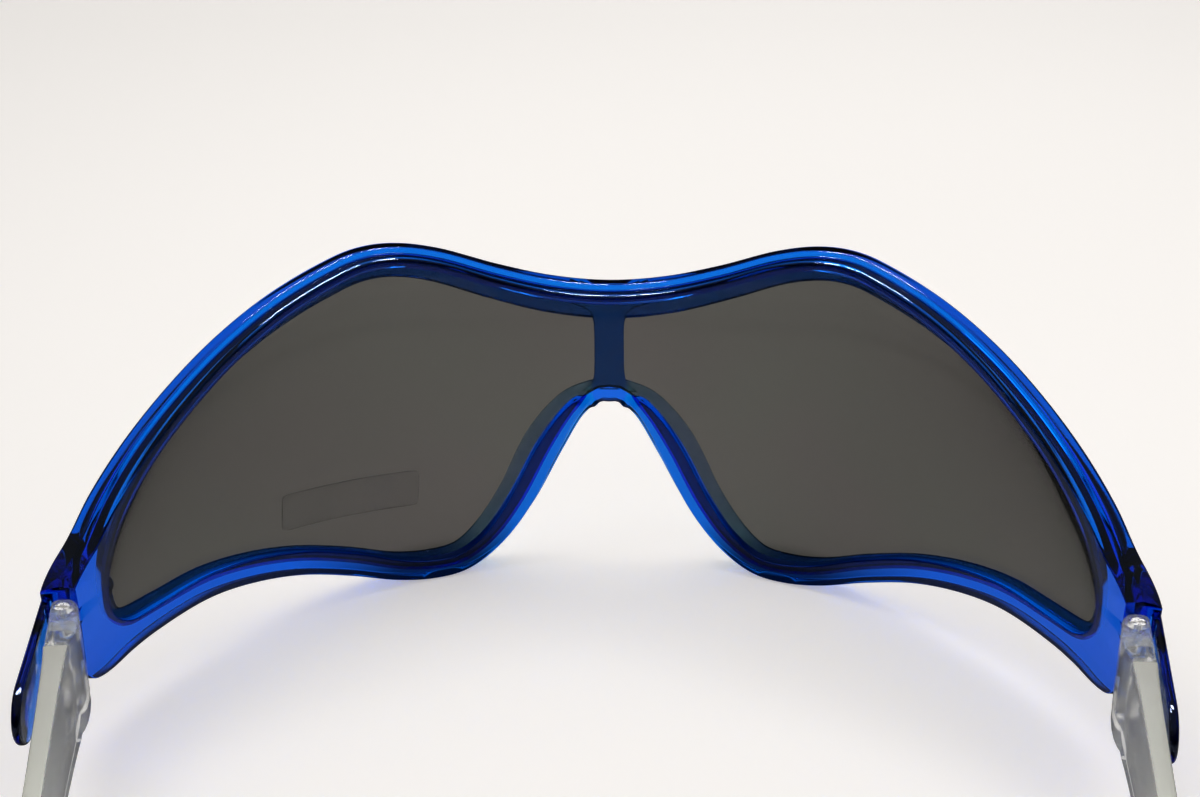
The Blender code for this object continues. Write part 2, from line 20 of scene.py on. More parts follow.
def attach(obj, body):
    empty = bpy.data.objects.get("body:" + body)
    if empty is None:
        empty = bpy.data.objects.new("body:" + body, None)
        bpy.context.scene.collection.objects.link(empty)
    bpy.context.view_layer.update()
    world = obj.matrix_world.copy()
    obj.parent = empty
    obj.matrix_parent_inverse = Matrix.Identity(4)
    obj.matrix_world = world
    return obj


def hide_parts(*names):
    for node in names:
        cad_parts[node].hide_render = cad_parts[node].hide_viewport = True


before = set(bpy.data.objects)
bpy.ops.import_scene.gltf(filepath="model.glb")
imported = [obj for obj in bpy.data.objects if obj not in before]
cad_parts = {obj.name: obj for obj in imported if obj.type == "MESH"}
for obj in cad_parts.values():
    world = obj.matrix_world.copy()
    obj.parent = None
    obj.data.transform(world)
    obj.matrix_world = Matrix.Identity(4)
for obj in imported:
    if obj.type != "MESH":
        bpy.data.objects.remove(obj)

LOG = logging.getLogger("sunglasses")
MM = 0.001
LENS_RADIUS = 73.5 * MM
LENS_AXIS_Y = 7.314 * MM
NOISE_RANGE = (0.3, 0.7)
DRIFT_SPAN = 8
DRIFT_DETAIL = 1.0
ROUND_SIDES = 48
SCREW_SIDES = 40
SCREW_SIZES = ("Radius", "Length", "Head Radius", "Head Height", "Slot Width", "Slot Depth")
SHARP_ANGLE = math.radians(40)
CORNER_SHARE = 0.45

Pair = tuple[float, float]
Place = tuple[float, float, float]
Colour = tuple[float, float, float]
Table = tuple[tuple[float, ...], ...]


class Side(Enum):
    """A side of the wearer, with the sign of X there."""

    LEFT = -1
    RIGHT = 1

    @property
    def word(self) -> str:
        """The side's name in small letters."""
        return self.name.lower()

    @property
    def arm(self) -> str:
        """The name of the body that folds on this side."""
        return f"{self.word}_arm"


class Cut(Enum):
    """What a Boolean does to its target."""

    JOIN = "UNION"
    REMOVE = "DIFFERENCE"


@dataclass
class Graph:
    """A node tree with short calls for making and joining nodes."""

    tree: NodeTree

    def fill(self, made: Node, inputs: dict) -> Node:
        """Sets or joins a node's inputs.

        Args:
            made: The node.
            inputs: Values or sockets by input name or number.

        Returns:
            The same node.
        """
        for key, value in inputs.items():
            if isinstance(value, NodeSocket):
                self.tree.links.new(value, made.inputs[key])
            else:
                made.inputs[key].default_value = value
        return made

    def node(self, kind: str, inputs: dict | None = None, **settings: object) -> Node:
        """Adds a node.

        Args:
            kind: The node's Blender type.
            inputs: Values or sockets by input name or number.
            **settings: The node's own properties.

        Returns:
            The new node.
        """
        made = self.tree.nodes.new(kind)
        for key, value in settings.items():
            setattr(made, key, value)
        return self.fill(made, inputs or {})

    def math(self, operation: str, first: object, second: object = 0.0) -> NodeSocket:
        """Adds a Math node on two values or sockets, and gives its output."""
        return self.node("ShaderNodeMath", {0: first, 1: second}, operation=operation).outputs[0]

    def product(self, first: object, *others: object) -> NodeSocket:
        """Multiplies values or sockets, one after another.

        Args:
            first: The first one.
            *others: The others.

        Returns:
            The last node's output.
        """
        for other in others:
            first = self.math("MULTIPLY", first, other)
        return first

    def ramp(self, value: NodeSocket, ends: Sequence[float], kind: str = "LINEAR") -> NodeSocket:
        """Maps one range onto another, held at both ends.

        Args:
            value: What is mapped.
            ends: Where the range starts and ends and, unless 0 and 1, what both become.
            kind: LINEAR or SMOOTHSTEP.

        Returns:
            The mapped value.
        """
        start, end, low, high = (*ends, 0.0, 1.0)[:4]
        given = {"Value": value, "From Min": start, "From Max": end, "To Min": low, "To Max": high}
        return self.node("ShaderNodeMapRange", given, interpolation_type=kind).outputs[0]

    def noise(self, scale: float, detail: float) -> NodeSocket:
        """Adds noise on Object coordinates, by its waves to the metre and its octaves."""
        where = self.node("ShaderNodeTexCoord").outputs["Object"]
        return self.node("ShaderNodeTexNoise", {"Vector": where, "Scale": scale, "Detail": detail}).outputs[0]

    def blend(self, factor: NodeSocket, first: object, second: object) -> NodeSocket:
        """Mixes two colours or sockets by the second one's share."""
        first, second = (k if isinstance(k, NodeSocket) else (*k, 1.0) for k in (first, second))
        return self.node("ShaderNodeMix", {0: factor, 6: first, 7: second}, data_type="RGBA").outputs[2]


# Materials


@dataclass(frozen=True, kw_only=True)
class Finish:
    """A procedural finish: see-through or metal, rippled, and absorbing inside."""

    name: str
    tint: Colour
    polish: Pair
    grain: float
    drift: Colour | None = None
    shine: Colour = (1.0, 1.0, 1.0)
    frost: float = 0.0
    metal: float = 0.0
    index: float = 1.5
    detail: float = 3.0
    ripple: float = 0.0
    ripple_span: float = 3.0
    ripple_detail: float = 2.0
    bulk: Colour = (0.0, 0.0, 0.0)
    density: float = 0.0

    def build(self) -> Material:
        """Makes the material.

        Returns:
            The new material.
        """
        made = bpy.data.materials.new(self.name)
        made.use_nodes = True
        graph = Graph(made.node_tree)
        graph.tree.nodes.clear()
        look = {
            "Base Color": self.colour(graph),
            "Specular Tint": (*self.shine, 1.0),
            "Metallic": self.metal,
            "Transmission Weight": 1.0 - self.frost,
            "IOR": self.index,
            "Roughness": graph.ramp(graph.noise(self.grain, self.detail), (*NOISE_RANGE, *self.polish)),
        }
        if self.ripple:
            waves = graph.noise(self.grain / self.ripple_span, self.ripple_detail)
            ends = {"Height": waves, "Distance": self.ripple, "Strength": 1.0}
            look["Normal"] = graph.node("ShaderNodeBump", ends).outputs[0]
        parts = {"Surface": graph.node("ShaderNodeBsdfPrincipled", look).outputs[0]}
        if self.density:
            inside = {"Color": (*self.bulk, 1.0), "Density": self.density}
            parts["Volume"] = graph.node("ShaderNodeVolumeAbsorption", inside).outputs[0]
        graph.node("ShaderNodeOutputMaterial", parts)
        return made

    def colour(self, graph: Graph) -> NodeSocket | tuple[float, ...]:
        """Drifts the tint from place to place.

        Args:
            graph: The material's tree.

        Returns:
            The tint.
        """
        if self.drift is None:
            return (*self.tint, 1.0)
        cloud = graph.ramp(graph.noise(self.grain / DRIFT_SPAN, DRIFT_DETAIL), NOISE_RANGE)
        return graph.blend(cloud, self.tint, self.drift)


@dataclass(frozen=True, kw_only=True)
class RimFinishWithPaintedLight(Finish):
    """The rim's plastic, with painted light as a much paler front lip beside the nose and painted shade as a
    deeper tint behind it.

    The pairs are where each change starts and ends, in metres: how far ahead of the lens the
    lip starts, how far out and how high the nose reaches, and where the web at the arch ends.
    """

    lip: Colour
    rear: Colour
    lip_start: Pair = (0.6 * MM, 0.9 * MM)
    nose_width: Pair = (26.0 * MM, 20.0 * MM)
    nose_height: Pair = (36.0 * MM, 31.0 * MM)
    web_end: Pair = (2.4 * MM, 3.0 * MM)

    def colour(self, graph: Graph) -> NodeSocket:
        """Paints light into the tint ahead of the lens, as a paler lip, and shade behind it, as a deeper
        tint, beside the nose.

        Args:
            graph: The material's tree.

        Returns:
            The tint.
        """
        where = graph.node("ShaderNodeTexCoord").outputs["Object"]
        x, y, z = graph.node("ShaderNodeSeparateXYZ", {0: where}).outputs
        deep = graph.math("SUBTRACT", y, LENS_AXIS_Y)
        square = graph.math("ADD", graph.product(x, x), graph.product(deep, deep))
        off = graph.math("SUBTRACT", graph.math("SQRT", square), LENS_RADIUS)
        ahead = graph.ramp(off, self.lip_start)
        across = graph.math("ABSOLUTE", x)
        nose = graph.product(graph.ramp(across, self.nose_width), graph.ramp(z, self.nose_height))
        # Painted shade: a deeper tint behind the lens beside the nose.
        rear = graph.product(nose, graph.math("SUBTRACT", 1.0, ahead))
        # Painted light: a paler tint in the front lip beside the nose, standing in for light through thin
        # plastic.
        lip = graph.product(nose, ahead, graph.ramp(across, self.web_end))
        return graph.blend(lip, graph.blend(rear, super().colour(graph), self.rear), self.lip)


BLUE = RimFinishWithPaintedLight(
    name="blue_clear_plastic",
    tint=(0.27, 0.28, 0.96),
    drift=(0.31, 0.26, 0.95),
    shine=(0.50, 0.62, 0.90),
    bulk=(0.0, 0.889, 0.967),
    density=1800.0,
    polish=(0.01, 0.04),
    ripple=0.003 * MM,
    grain=900.0,
    # lip is painted light, a paler front lip beside the nose; rear is painted shade, a deeper tint behind it.
    lip=(0.95, 0.68, 0.90),
    rear=(0.075, 0.125, 0.84),
)
SMOKE = Finish(
    name="smoke_lens",
    tint=(0.97, 1.0, 0.95),
    drift=(1.0, 0.965, 0.96),
    shine=(0.30, 0.30, 0.28),
    bulk=(0.02, 0.015, 0.0),
    density=1430.0,
    polish=(0.0, 0.02),
    ripple=0.001 * MM,
    grain=300.0,
)
CLEAR = Finish(
    name="clear_plastic",
    tint=(1.0, 1.0, 0.985),
    drift=(0.98, 0.99, 0.98),
    frost=0.15,
    bulk=(0.8, 0.85, 0.8),
    density=8.0,
    index=1.26,
    polish=(0.06, 0.16),
    ripple=0.01 * MM,
    grain=700.0,
)
FROSTED = Finish(
    name="clear_plastic_frosted",
    tint=(1.0, 0.98, 0.87),
    drift=(0.98, 0.96, 0.85),
    frost=0.49,
    bulk=(0.8, 0.85, 0.8),
    density=6.0,
    index=1.36,
    polish=(0.35, 0.5),
    ripple=0.02 * MM,
    grain=1500.0,
)
FILM = Finish(
    name="clear_film", tint=(0.93, 0.93, 0.93), index=1.3, polish=(0.12, 0.192), grain=900.0, detail=2.0
)
STEEL = Finish(
    name="screw_steel",
    tint=(0.62, 0.61, 0.6),
    frost=1.0,
    metal=1.0,
    polish=(0.2, 0.4),
    ripple=0.01 * MM,
    ripple_span=1.0,
    grain=4000.0,
    detail=2.0,
)


# Meshes


def mesh_object(name: str, bm: bmesh.types.BMesh) -> Object:
    """Makes an object of a bmesh, its faces pointing out.

    Args:
        name: The object's name.
        bm: The mesh, freed afterwards.

    Returns:
        The new object.
    """
    bmesh.ops.recalc_face_normals(bm, faces=bm.faces)
    mesh = bpy.data.meshes.new(name)
    bm.to_mesh(mesh)
    bm.free()
    made = bpy.data.objects.new(name, mesh)
    bpy.context.scene.collection.objects.link(made)
    return made


def loft(name: str, rings: Sequence[Iterable[Sequence[float]]], closed: bool = False) -> Object:
    """Makes a solid through rings of points with one count.

    Args:
        name: The object's name.
        rings: The rings in order.
        closed: Whether the last ring joins the first; otherwise both are capped.

    Returns:
        The new object.
    """
    bm = bmesh.new()
    rows = [[bm.verts.new(point) for point in ring] for ring in rings]
    pairs = list(zip(rows, rows[1:]))
    if closed:
        pairs.append((rows[-1], rows[0]))
    else:
        bm.faces.new(rows[0])
        bm.faces.new(rows[-1])
    for ring, after in pairs:
        for k, point in enumerate(ring):
            beside = (k + 1) % len(ring)
            bm.faces.new((point, ring[beside], after[beside], after[k]))
    return mesh_object(name, bm)


def box(low: Sequence[float], high: Sequence[float]) -> Object:
    """Makes a box between two corners.

    Args:
        low: Its lowest corner.
        high: Its highest corner.

    Returns:
        The new object.
    """
    low, high = Vector(low), Vector(high)
    bm = bmesh.new()
    place = Matrix.Translation((low + high) / 2) @ Matrix.Diagonal((*(high - low), 1.0))
    bmesh.ops.create_cube(bm, size=1.0, matrix=place)
    return mesh_object("box", bm)


def cylinder(radius: float, base: float, top: float, place: Pair = (0.0, 0.0)) -> Object:
    """Makes an upright cylinder.

    Args:
        radius: Its radius.
        base: Its lowest height.
        top: Its highest height.
        place: Its axis in plan.

    Returns:
        The new object.
    """
    bm = bmesh.new()
    middle = Matrix.Translation((*place, (base + top) / 2))
    sizes = {"radius1": radius, "radius2": radius, "depth": top - base}
    bmesh.ops.create_cone(bm, cap_ends=True, segments=ROUND_SIDES, matrix=middle, **sizes)
    return mesh_object("cylinder", bm)


def thicken(bm: bmesh.types.BMesh, shift: Sequence[float]) -> None:
    """Extrudes all the faces of a flat bmesh into a solid.

    Args:
        bm: The flat bmesh.
        shift: How far, and which way.
    """
    raised = bmesh.ops.extrude_face_region(bm, geom=bm.faces[:])
    lifted = [v for v in raised["geom"] if isinstance(v, bmesh.types.BMVert)]
    bmesh.ops.translate(bm, vec=shift, verts=lifted)


def settle(made: Object) -> Object:
    """Turns an object's live modifiers into a plain mesh.

    Args:
        made: The object.

    Returns:
        The same object, with no modifier left.
    """
    bpy.context.view_layer.update()
    graph = bpy.context.evaluated_depsgraph_get()
    mesh = bpy.data.meshes.new_from_object(made.evaluated_get(graph), depsgraph=graph)
    made.modifiers.clear()
    made.data = mesh
    return made


def carve(target: Object, tools: Sequence[tuple[Object, Cut]]) -> Object:
    """Joins or removes solids, one after another, and deletes them.

    Args:
        target: The object to change.
        tools: Each solid and what it does.

    Returns:
        The changed object.
    """
    for tool, cut in tools:
        modifier = target.modifiers.new(tool.name, "BOOLEAN")
        modifier.object = tool
        modifier.operation = cut.value
        modifier.solver = "EXACT"
    settle(target)
    for tool, _ in tools:
        bpy.data.objects.remove(tool, do_unlink=True)
    return target


def blended(rows: Sequence[Sequence[float]], steps: int) -> list[tuple[float, ...]]:
    """Puts rows of numbers on a smooth curve through the given rows.

    Args:
        rows: The given rows.
        steps: Rows for each given one.

    Returns:
        The finer rows, the last given row included.
    """
    made = []
    last = len(rows) - 1
    for index in range(last):
        around = rows[max(index - 1, 0)], rows[index], rows[index + 1], rows[min(index + 2, last)]
        for step in range(steps):
            t = step / steps
            rise = t * t * (3 - 2 * t)
            leave, arrive = t * (1 - t) ** 2 / 2, t * t * (1 - t) / 2
            made.append(
                tuple(b + (c - b) * rise + (c - a) * leave - (d - b) * arrive for a, b, c, d in zip(*around))
            )
    made.append(tuple(rows[-1]))
    return made


def filleted(corners: Sequence[Place], steps: int) -> list[Pair]:
    """Rounds the corners of a flat outline.

    Args:
        corners: Each corner and its radius, in order.
        steps: Points on each rounded corner.

    Returns:
        The outline's points.
    """
    made = []
    count = len(corners)
    for k, (x, y, radius) in enumerate(corners):
        here = Vector((x, y))
        back = Vector(corners[k - 1][:2]) - here
        on = Vector(corners[(k + 1) % count][:2]) - here
        half = back.angle(on) / 2
        most = CORNER_SHARE * min(back.length, on.length)
        reach = min(max(radius / math.tan(half), radius / 4), most)
        start, end = here + back.normalized() * reach, here + on.normalized() * reach
        for step in range(steps):
            t = step / (steps - 1)
            made.append(tuple(start * (1 - t) ** 2 + here * 2 * t * (1 - t) + end * t * t))
    return made


def smooth_faces(made: Object) -> None:
    """Shades an object smooth, with sharp edges kept."""
    made.data.shade_smooth()
    made.data.set_sharp_from_angle(angle=SHARP_ANGLE)


def hand_in(made: Object, finish: Material, slot: str, body: str, *nodes: str) -> None:
    """Gives a finished piece its material and body, and hides the imported nodes that it stands for.

    Args:
        made: The piece.
        finish: Its material.
        slot: Not used.
        body: The body that it rides on.
        *nodes: The nodes that it stands for.
    """
    made.data.materials.clear()
    made.data.materials.append(finish)
    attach(made, body)
    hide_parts(*nodes)
    LOG.info("%s: %d faces on %s", made.name, len(made.data.polygons), body)


# Geometry Nodes trees


def new_tree(name: str, inputs: dict[str, str]) -> tuple[Graph, bpy.types.bpy_prop_collection]:
    """Starts a tree that takes a mesh, some settings and a finish.

    Args:
        name: The tree's name.
        inputs: The kind of each setting by name.

    Returns:
        The tree, and what its input node gives.
    """
    graph = Graph(bpy.data.node_groups.new(name, "GeometryNodeTree"))
    face = graph.tree.interface
    face.new_socket("Geometry", in_out="OUTPUT", socket_type="NodeSocketGeometry")
    for label, kind in {"Geometry": "Geometry", **inputs, "Finish": "Material"}.items():
        face.new_socket(label, in_out="INPUT", socket_type=f"NodeSocket{kind}")
    return graph, graph.node("NodeGroupInput").outputs


def end_tree(graph: Graph, shape: NodeSocket, finish: NodeSocket) -> NodeTree:
    """Ends a tree with its shape made real and given its finish.

    Args:
        graph: The tree.
        shape: The shape.
        finish: The finish.

    Returns:
        The whole tree.
    """
    real = graph.node("GeometryNodeRealizeInstances", {0: shape}).outputs[0]
    dressed = graph.node("GeometryNodeSetMaterial", {"Geometry": real, "Material": finish})
    graph.node("NodeGroupOutput", {0: dressed.outputs[0]})
    return graph.tree


def grow(made: Object, tree: NodeTree, values: dict) -> Object:
    """Runs a tree on an object.

    Args:
        made: The object.
        tree: The tree.
        values: The tree's inputs by name.

    Returns:
        The same object, as a plain mesh.
    """
    modifier = made.modifiers.new(tree.name, "NODES")
    modifier.node_group = tree
    for item in tree.interface.items_tree:
        if item.in_out == "INPUT" and item.name in values:
            modifier[item.identifier] = values[item.name]
    return settle(made)


def bend_tree() -> NodeTree:
    """Makes the tree that bends flat shapes round an upright cylinder.

    Returns:
        The tree.
    """
    graph, given = new_tree("bend_round_lens", {"Radius": "Float", "Apex": "Float"})
    where = graph.node("GeometryNodeInputPosition").outputs[0]
    flat = graph.node("ShaderNodeSeparateXYZ", {0: where}).outputs
    turn = graph.math("DIVIDE", flat[0], given["Radius"])
    reach = graph.math("ADD", given["Radius"], flat[1])
    across = graph.product(reach, graph.math("SINE", turn))
    ahead = graph.product(reach, graph.math("COSINE", turn))
    ahead = graph.math("ADD", graph.math("SUBTRACT", ahead, given["Radius"]), given["Apex"])
    place = graph.node("ShaderNodeCombineXYZ", {0: across, 1: ahead, 2: flat[2]}).outputs[0]
    moved = graph.node("GeometryNodeSetPosition", {"Geometry": given["Geometry"], "Position": place})
    return end_tree(graph, moved.outputs[0], given["Finish"])


def screw_tree() -> NodeTree:
    """Makes the tree that draws one slotted screw down from the top of its head.

    Returns:
        The tree.
    """
    graph, given = new_tree("slotted_screw", {"Place": "Vector", **dict.fromkeys(SCREW_SIZES, "Float")})

    def rod(radius: NodeSocket, depth: NodeSocket, down: NodeSocket) -> NodeSocket:
        """Draws an upright rod.

        Args:
            radius: Its radius.
            depth: Its length.
            down: How far its middle is below the origin.

        Returns:
            The rod.
        """
        sides = {"Vertices": SCREW_SIDES, "Radius": radius, "Depth": depth}
        mesh = graph.node("GeometryNodeMeshCylinder", sides).outputs["Mesh"]
        offset = graph.node("ShaderNodeCombineXYZ", {2: graph.product(down, -1.0)}).outputs[0]
        return graph.node("GeometryNodeTransform", {"Geometry": mesh, "Translation": offset}).outputs[0]

    half_head = graph.product(given["Head Height"], 0.5)
    reach = graph.math("ADD", given["Length"], half_head)
    middle = graph.math("ADD", graph.product(reach, 0.5), half_head)
    shaft = rod(given["Radius"], reach, middle)
    head = rod(given["Head Radius"], given["Head Height"], half_head)
    joined = graph.node("GeometryNodeMeshBoolean", operation="UNION", solver="EXACT")
    for part in (shaft, head):
        graph.fill(joined, {"Mesh 2": part})
    across, deep = graph.product(given["Head Radius"], 4.0), graph.product(given["Slot Depth"], 2.0)
    size = graph.node("ShaderNodeCombineXYZ", {0: across, 1: given["Slot Width"], 2: deep}).outputs[0]
    slot = graph.node("GeometryNodeMeshCube", {"Size": size}).outputs["Mesh"]
    meshes = {"Mesh 1": joined.outputs["Mesh"], "Mesh 2": slot}
    slotted = graph.node("GeometryNodeMeshBoolean", operation="DIFFERENCE", solver="EXACT")
    ends = {"Geometry": graph.fill(slotted, meshes).outputs["Mesh"], "Translation": given["Place"]}
    return end_tree(graph, graph.node("GeometryNodeTransform", ends).outputs[0], given["Finish"])


# The lens's cylinder and the hinges


@dataclass(frozen=True)
class LensForm:
    """The lens's cylinder, its edge and the groove that holds it."""

    half_arc: float = 84.0 * MM
    peak: float = 53.2 * MM
    thickness: float = 1.6 * MM
    gap: float = 0.25 * MM
    inset: float = 0.35 * MM

    @property
    def slot_half(self) -> float:
        """Half the width of the groove."""
        return self.thickness / 2 + self.gap

    def bend(self, made: Object, finish: Material) -> Object:
        """Bends a flat shape round the cylinder with a Geometry Nodes tree.

        Args:
            made: A mesh whose X is arc, Y distance ahead and Z height.
            finish: The material that the tree sets.

        Returns:
            The same object, bent, as a plain mesh.
        """
        tree = bpy.data.node_groups.get("bend_round_lens") or bend_tree()
        apex = LENS_AXIS_Y + LENS_RADIUS
        return grow(made, tree, {"Radius": LENS_RADIUS, "Apex": apex, "Finish": finish})


@dataclass(frozen=True)
class Hinge:
    """Where the hinges are, and what turns on them."""

    place_x: float = 68.186 * MM
    place_y: float = 29.116 * MM
    end_y: float = 31.416 * MM
    toe_in: Pair = (math.radians(7.5), math.radians(3.0))
    wing_toe_in: float = math.radians(3.0)
    knuckle: float = 2.0 * MM
    gap: float = 0.3 * MM
    tongue_radius: float = 1.7 * MM
    tongue_base: float = 21.77 * MM
    tongue_top: float = 23.62 * MM
    bore_radius: float = 0.85 * MM

    def stand(self, made: Object, side: Side, toe_in: float) -> Object:
        """Moves a right-hand piece drawn about its axis to its hinge.

        Args:
            made: The piece, its axis through the origin.
            side: The side that it belongs on.
            toe_in: How far it turns inward.

        Returns:
            The same piece, its place in its mesh.
        """
        sign = side.value
        turn = -sign * toe_in
        place = Matrix.Translation((sign * self.place_x, self.place_y, 0.0)) @ Matrix.Rotation(turn, 4, "Z")
        made.data.transform(place @ Matrix.Diagonal((sign, 1.0, 1.0, 1.0)))
        if sign < 0:
            made.data.flip_normals()
        return made


# The rim


@dataclass(frozen=True)
class Wing:
    """The wing that carries the rim's outer face back past the hinge."""

    hinge: Hinge
    inner: float = 1.9 * MM
    thickness: float = 1.3 * MM
    length: float = 20.0 * MM
    root: float = 0.9 * MM
    foot: float = 13.618 * MM
    head: float = 25.318 * MM
    rise: float = 3.0 * MM
    inset: float = 0.5 * MM
    knee: float = 3.0 * MM
    nose: float = 5.0 * MM
    nose_steps: int = 24
    edge_round: float = 0.5 * MM
    edge_steps: int = 4
    edge_angle: float = math.radians(50)

    def shape(self, side: Side) -> Object:
        """Makes one wing.

        Args:
            side: The side that it belongs on.

        Returns:
            The wing, in place.
        """
        hinge = self.hinge
        front = hinge.end_y - hinge.place_y + self.root
        rear_low, rear_high = self.foot + self.rise, self.head - self.inset
        middle, half = (rear_low + rear_high) / 2, (rear_high - rear_low) / 2
        outline = [(front, self.head), (front, self.foot), (-self.knee, self.foot)]
        for k in range(self.nose_steps + 1):
            angle = math.pi * (k / self.nose_steps - 0.5)
            back = self.nose * (1 - math.cos(angle)) - self.length
            outline.append((back, middle + half * math.sin(angle)))
        bm = bmesh.new()
        bm.faces.new([bm.verts.new((self.inner, y, z)) for y, z in outline])
        thicken(bm, (self.thickness, 0.0, 0.0))
        made = mesh_object("wing", bm)
        edge = made.modifiers.new("edge", "BEVEL")
        edge.width, edge.segments = self.edge_round, self.edge_steps
        edge.limit_method, edge.angle_limit = "ANGLE", self.edge_angle
        return hinge.stand(settle(made), side, hinge.wing_toe_in)


def outward(before: Sequence[float], after: Sequence[float]) -> Vector:
    """Finds which way is outward, in arc and height, between two stations of the lens edge."""
    along = Vector((after[0] - before[0], after[1] - before[1])).normalized()
    return Vector((-along.y, along.x))


@dataclass(frozen=True)
class Rim:
    """The one-piece translucent rim, its centre bar, ears and tongues.

    Each row holds a station of the lens edge, from the middle of the top round the ear to the
    nose arch: its arc and height, the wall as a share of the rim's and one of the ear's, the
    rear lip, the front lip, the front skin, the flange and the step, all as shares.
    """

    lens: LensForm
    hinge: Hinge
    wall: float = 1.5 * MM
    ear_wall: float = 8.19 * MM
    flange_width: float = 0.75 * MM
    rear_lip: float = 1.0 * MM
    front_lip: float = 4.3 * MM
    front_skin: float = 0.95 * MM
    flange_rear: float = 0.3 * MM
    bead_depth: float = 1.4 * MM
    web_half_width: float = 2.6 * MM
    web_fade: float = 1.6 * MM
    web_rear: float = -0.2 * MM
    web_bead: float = 0.1 * MM
    web_shelf: float = 0.05 * MM
    web_lap: float = 0.06 * MM
    crease: float = 0.05 * MM
    lip_round: float = 0.3 * MM
    foot_round: float = 0.25 * MM
    bead_round: float = 0.35 * MM
    edge_limits: Pair = (0.2 * MM, 0.8 * MM)
    slope_edge: float = 0.3
    bar_half_width: float = 2.15 * MM
    bar_skin: float = 1.0 * MM
    bar_foot: float = 28.2 * MM
    bar_head: float = 42.42 * MM
    bar_rounds: Pair = (0.1 * MM, 0.4 * MM)
    bar_steps: tuple[int, int] = (6, 4)
    tongue_root: float = 1.2 * MM
    socket_top: float = 60.0 * MM
    reach: float = 0.1
    steps: int = 12
    corner_steps: int = 5
    rows: Table = (
        (0.000, 0.833, 1.00, 0.00, 0.60, 1.00, 0.90, 1.0, 1.0),
        (0.096, 0.850, 1.00, 0.00, 0.60, 0.96, 0.90, 1.0, 1.0),
        (0.190, 0.896, 1.00, 0.00, 0.60, 0.86, 0.90, 1.0, 1.0),
        (0.286, 0.961, 1.00, 0.00, 0.65, 0.80, 0.90, 1.0, 1.0),
        (0.357, 0.994, 1.00, 0.00, 0.70, 0.80, 0.95, 1.0, 1.0),
        (0.417, 0.999, 1.00, 0.00, 0.75, 0.82, 1.00, 1.0, 1.0),
        (0.476, 0.979, 1.00, 0.00, 0.80, 0.84, 1.00, 1.0, 1.0),
        (0.571, 0.930, 1.02, 0.00, 0.90, 0.84, 1.00, 1.0, 1.0),
        (0.667, 0.864, 1.05, 0.00, 1.00, 0.82, 1.00, 1.0, 1.0),
        (0.761, 0.787, 1.08, 0.00, 1.10, 0.80, 1.00, 1.0, 1.0),
        (0.860, 0.697, 1.15, 0.00, 1.25, 0.75, 1.00, 1.0, 0.9),
        (0.934, 0.612, 1.35, 0.02, 1.50, 0.65, 1.00, 1.0, 0.6),
        (0.980, 0.530, 1.40, 0.17, 1.70, 0.60, 1.00, 1.0, 0.3),
        (1.000, 0.450, 0.00, 1.01, 1.30, 1.05, 1.00, 1.0, 0.0),
        (1.000, 0.365, 0.00, 1.06, 1.00, 1.20, 1.00, 1.0, 0.0),
        (0.982, 0.305, 0.00, 0.98, 1.10, 0.95, 1.00, 0.7, 0.0),
        (0.940, 0.262, 1.80, 0.12, 1.25, 0.50, 1.00, 0.3, 0.0),
        (0.860, 0.247, 1.70, 0.00, 1.40, 0.40, 1.00, 0.2, 0.0),
        (0.761, 0.240, 1.55, 0.00, 1.60, 0.38, 1.00, 0.2, 0.0),
        (0.667, 0.214, 1.45, 0.00, 1.80, 0.38, 1.00, 0.2, 0.0),
        (0.571, 0.172, 1.35, 0.00, 1.95, 0.38, 1.00, 0.2, 0.0),
        (0.476, 0.112, 1.25, 0.00, 2.00, 0.40, 1.00, 0.2, 0.0),
        (0.392, 0.052, 1.10, 0.00, 2.00, 0.44, 1.00, 0.3, 0.1),
        (0.322, 0.026, 1.05, 0.00, 2.05, 0.54, 0.90, 0.5, 0.4),
        (0.262, 0.035, 1.10, 0.00, 2.15, 0.65, 0.75, 0.8, 0.8),
        (0.205, 0.100, 1.20, 0.00, 2.30, 0.82, 0.60, 1.0, 1.0),
        (0.154, 0.213, 1.30, 0.00, 2.45, 0.92, 0.45, 1.0, 1.0),
        (0.104, 0.370, 1.32, 0.00, 2.40, 0.98, 0.42, 1.2, 1.0),
        (0.062, 0.482, 1.15, 0.00, 1.80, 0.74, 0.48, 1.5, 1.0),
        (0.029, 0.536, 1.42, 0.00, 1.10, 0.38, 0.60, 1.9, 1.0),
        (0.000, 0.549, 1.60, 0.00, 0.90, 0.25, 0.62, 2.2, 1.0),
    )
    bar_rows: Table = (
        (0.00, 1.90),
        (0.08, 1.30),
        (0.20, 1.05),
        (0.45, 1.00),
        (0.70, 1.00),
        (0.82, 1.10),
        (0.91, 1.50),
        (1.00, 2.90),
    )

    def edge(self) -> list[tuple[float, ...]]:
        """Follows the right half of the lens edge.

        Returns:
            Rows of arc, height, wall, rear lip, front lip, front skin, flange and step.
        """
        before = (-self.rows[1][0], *self.rows[1][1:])
        beyond = (-self.rows[-2][0], *self.rows[-2][1:])
        sized = []
        for row in (before, *self.rows, beyond):
            arc, height, wall, ear, rear_lip, front_lip, skin, flange, step = row
            place = (arc * self.lens.half_arc, height * self.lens.peak)
            thick = wall * self.wall + ear * self.ear_wall
            lips = (rear_lip * self.rear_lip, front_lip * self.front_lip)
            sized.append((*place, thick, *lips, skin * self.front_skin, flange * self.flange_width, step))
        return blended(sized, self.steps)[self.steps : -self.steps]

